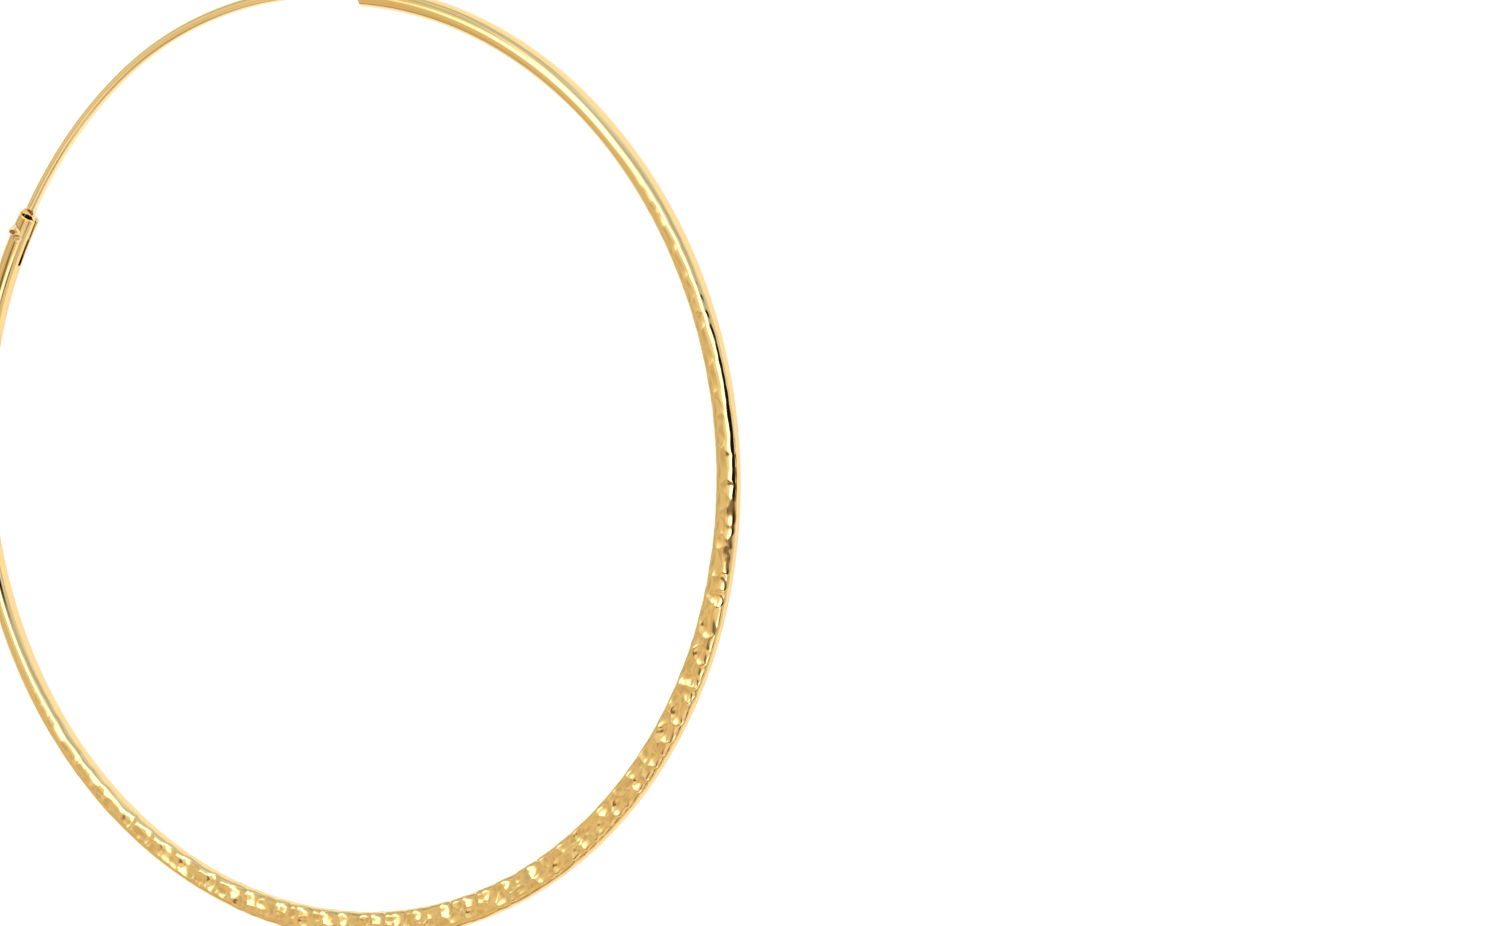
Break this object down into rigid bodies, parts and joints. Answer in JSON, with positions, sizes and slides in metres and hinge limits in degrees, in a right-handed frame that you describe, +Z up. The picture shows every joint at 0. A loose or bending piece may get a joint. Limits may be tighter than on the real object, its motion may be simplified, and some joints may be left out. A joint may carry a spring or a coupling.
{
  "type": "hoop earring",
  "caption": "Large thin hollow tube hoop earring, hammered flatter round the bottom, with a hinged round ear wire that seats in the tube's open end.",
  "frame": {"origin": "under the middle of the earring's outline, on the surface that it lies on", "axes": "+Z up, square to the hoop, out of its hammered front face; +Y across the hoop towards the ear wire; +X towards the hammered side by the open mouth"},
  "size_m": [0.0698, 0.0696, 0.0021],
  "materials": {
    "polished_gold": "mirror-polished yellow gold, hammered on the front face",
    "rivet_gold": "yellow gold, hammered rivet head",
    "wire_gold": "polished drawn yellow gold wire"
  },
  "bodies": {
    "hoop": {"hoop_tube": "polished_gold", "hinge_rivet": "rivet_gold"},
    "ear_wire": {"ear_wire": "wire_gold"}
  },
  "joints": [
    {"name": "ear_wire_hinge", "type": "hinge", "parent": "hoop", "child": "ear_wire", "pos_m": [-0.02831, 0.01915, 0.0008], "axis": [0, 0, 1], "range_deg": [0, 75]}
  ]
}
